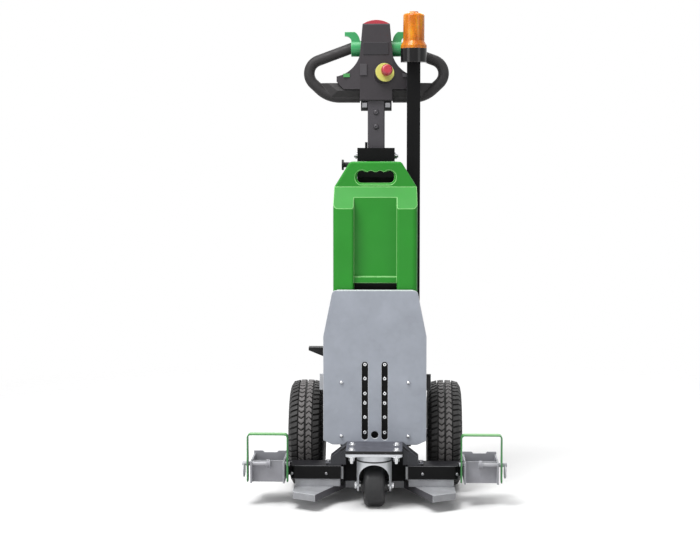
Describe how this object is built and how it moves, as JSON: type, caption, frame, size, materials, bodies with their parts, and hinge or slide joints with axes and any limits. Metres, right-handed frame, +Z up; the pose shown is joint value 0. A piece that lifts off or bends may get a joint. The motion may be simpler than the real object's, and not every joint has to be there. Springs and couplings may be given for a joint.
{
  "type": "electric tow tractor",
  "caption": "Hand-guided electric tow tractor: drive wheels, swivel caster, slotted coupling plate, lift-out battery, tilting tiller, side clamps and an amber beacon.",
  "frame": {"origin": "on the floor, under the middle of the part's box", "axes": "+X to the right seen from the coupling end, +Y towards the operator, +Z up"},
  "size_m": [0.622, 0.437, 1.173],
  "materials": {
    "galvanized_plate": "mottled zinc, satin",
    "galvanized_base": "mottled zinc, rough",
    "galvanized_clamp": "dull zinc",
    "galvanized_caster": "bright zinc",
    "bright_steel": "bright plated",
    "black_steel": "black powder coat",
    "grey_steel": "dark grey powder coat",
    "drive_casting": "painted casting",
    "axle_steel": "turned steel",
    "rim_paint": "silver paint",
    "tyre_rubber": "matte rubber",
    "caster_rubber": "matte rubber",
    "battery_green": "moulded, fine grain",
    "bail_green": "green powder coat",
    "lever_green": "moulded, satin",
    "black_plastic": "moulded, fine grain",
    "head_plastic": "moulded, fine grain",
    "grip_plastic": "moulded, fine grain",
    "switch_red": "moulded, satin",
    "estop_yellow": "moulded, satin",
    "button_grey": "moulded, satin",
    "beacon_amber": "clear amber",
    "reflector": "mirror"
  },
  "bodies": {
    "chassis": {"front_plate": "galvanized_plate", "base_plate": "galvanized_base", "clamp_channel_left": "galvanized_clamp", "clamp_channel_right": "galvanized_clamp", "caster_plate": "galvanized_caster", "clamp_pins": "bright_steel", "tiller_pivot": "bright_steel", "front_web": "black_steel", "hitch_rails": "black_steel", "crossbars": "black_steel", "side_plates": "black_steel", "battery_tray": "black_steel", "mast": "black_steel", "tiller_bracket": "black_steel", "beacon_post": "black_steel", "side_lugs": "black_steel", "caster_bracket": "grey_steel", "drive_unit": "drive_casting", "bearing_flanges": "drive_casting", "battery_case": "battery_green", "rear_cover": "black_plastic", "plunger_knob": "black_plastic", "side_lever": "black_plastic", "beacon_base": "black_plastic", "beacon_lens": "beacon_amber", "beacon_core": "reflector"},
    "tiller": {"tiller_tube": "grey_steel", "tiller_collar": "black_plastic", "tiller_head": "head_plastic", "belly_switch": "switch_red", "estop_plate": "estop_yellow", "estop_button": "switch_red", "head_buttons": "button_grey", "handle_loop_left": "grip_plastic", "handle_loop_right": "grip_plastic", "thumb_levers": "lever_green"},
    "wheel_left": {"tyre_left": "tyre_rubber", "rim_left": "rim_paint", "stub_axle_left": "axle_steel"},
    "wheel_right": {"tyre_right": "tyre_rubber", "rim_right": "rim_paint", "stub_axle_right": "axle_steel"},
    "caster_yoke": {"caster_fork": "galvanized_caster", "caster_axle": "bright_steel"},
    "caster_roller": {"caster_wheel": "caster_rubber"},
    "hoop_left": {"bail_left": "bail_green"},
    "hoop_right": {"bail_right": "bail_green"}
  },
  "joints": [
    {"name": "wheel_left_spin", "type": "hinge", "parent": "chassis", "child": "wheel_left", "pos_m": [-0.17, 0.0865, 0.132], "axis": [1, 0, 0], "continuous": true},
    {"name": "wheel_right_spin", "type": "hinge", "parent": "chassis", "child": "wheel_right", "pos_m": [0.17, 0.0865, 0.132], "axis": [1, 0, 0], "continuous": true},
    {"name": "caster_swivel", "type": "hinge", "parent": "chassis", "child": "caster_yoke", "pos_m": [0, -0.1595, 0.12], "axis": [0, 0, 1], "continuous": true},
    {"name": "caster_spin", "type": "hinge", "parent": "caster_yoke", "child": "caster_roller", "pos_m": [0, -0.1435, 0.05], "axis": [1, 0, 0], "continuous": true},
    {"name": "tiller_tilt", "type": "hinge", "parent": "chassis", "child": "tiller", "pos_m": [0, 0.1225, 0.823], "axis": [-1, 0, 0], "range_deg": [0, 75]},
    {"name": "bail_left_swing", "type": "hinge", "parent": "chassis", "child": "hoop_left", "pos_m": [-0.251, -0.1465, 0.1], "axis": [1, 0, 0], "range_deg": [0, 95]},
    {"name": "bail_right_swing", "type": "hinge", "parent": "chassis", "child": "hoop_right", "pos_m": [0.251, -0.1465, 0.1], "axis": [1, 0, 0], "range_deg": [0, 95]}
  ]
}
